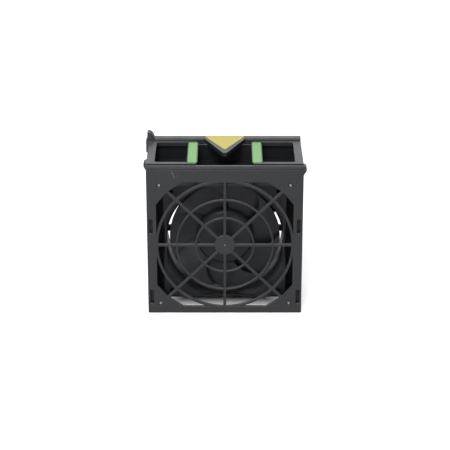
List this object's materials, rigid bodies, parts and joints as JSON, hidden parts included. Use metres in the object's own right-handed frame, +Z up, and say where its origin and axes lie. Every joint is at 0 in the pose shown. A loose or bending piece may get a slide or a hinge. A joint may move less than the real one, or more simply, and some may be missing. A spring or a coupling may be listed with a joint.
{
  "type": "server fan module",
  "caption": "Hot-swap server fan module: an axial fan behind a ring-and-spoke grille in a duct housing with a squeeze-to-release handle on top.",
  "frame": {"origin": "middle of the footprint, on the surface the module stands on", "axes": "+X to the right seen from the intake grille, +Y from the grille to the back along the air flow, +Z up towards the handle"},
  "size_m": [0.1584, 0.081, 0.1648],
  "materials": {
    "housing_plastic": "moulded charcoal plastic with a fine satin grain",
    "latch_plastic": "moulded charcoal plastic, slightly smoother where it slides",
    "yellow_inlay": "plain yellow film, satin",
    "green_pad": "moulded light green plastic, matte",
    "fan_plastic": "glass-filled black plastic, satin",
    "impeller_plastic": "moulded black plastic, semi-gloss",
    "spring_steel": "drawn wire",
    "ground_steel": "ground",
    "zinc_steel": "pressed, zinc plated",
    "magnet": "bonded ferrite",
    "brass": "turned",
    "nylon": "moulded natural nylon",
    "copper_wire": "enamelled copper wire",
    "board": "green solder mask",
    "chip_plastic": "moulded epoxy",
    "mount_rubber": "moulded rubber",
    "connector_plastic": "moulded black plastic",
    "contact_metal": "gold flashed"
  },
  "bodies": {
    "module": {"front_cover": "housing_plastic", "housing": "housing_plastic", "top_frame": "housing_plastic", "tab_inlay": "yellow_inlay", "latch_spring_right": "spring_steel", "latch_spring_left": "spring_steel", "fan_frame": "fan_plastic", "front_bearing": "ground_steel", "rear_bearing": "ground_steel", "bearing_tube": "brass", "stator_core": "zinc_steel", "stator_insulator": "nylon", "stator_windings": "copper_wire", "circuit_board": "board", "board_parts": "chip_plastic", "fan_mounts": "mount_rubber", "connector_body": "connector_plastic", "connector_contacts": "contact_metal"},
    "rotor": {"impeller": "impeller_plastic", "rotor_yoke": "zinc_steel", "rotor_magnet": "magnet", "shaft": "ground_steel", "shaft_clip": "spring_steel", "preload_spring": "spring_steel"},
    "right_latch": {"latch_right": "latch_plastic", "grip_pad_right": "green_pad"},
    "left_latch": {"latch_left": "latch_plastic", "grip_pad_left": "green_pad"}
  },
  "joints": [
    {"name": "impeller_spin", "type": "hinge", "parent": "module", "child": "rotor", "pos_m": [0, -0.0105, 0.073], "axis": [0, -1, 0], "continuous": true},
    {"name": "latch_right_slide", "type": "slide", "parent": "module", "child": "right_latch", "axis": [-1, 0, 0], "range_m": [0, 0.004], "stiffness_N_per_m": 800, "springref_m": -0.004, "deforming": ["latch_spring_right"]},
    {"name": "latch_left_slide", "type": "slide", "parent": "module", "child": "left_latch", "axis": [1, 0, 0], "range_m": [0, 0.004], "stiffness_N_per_m": 800, "springref_m": -0.004, "deforming": ["latch_spring_left"]}
  ]
}
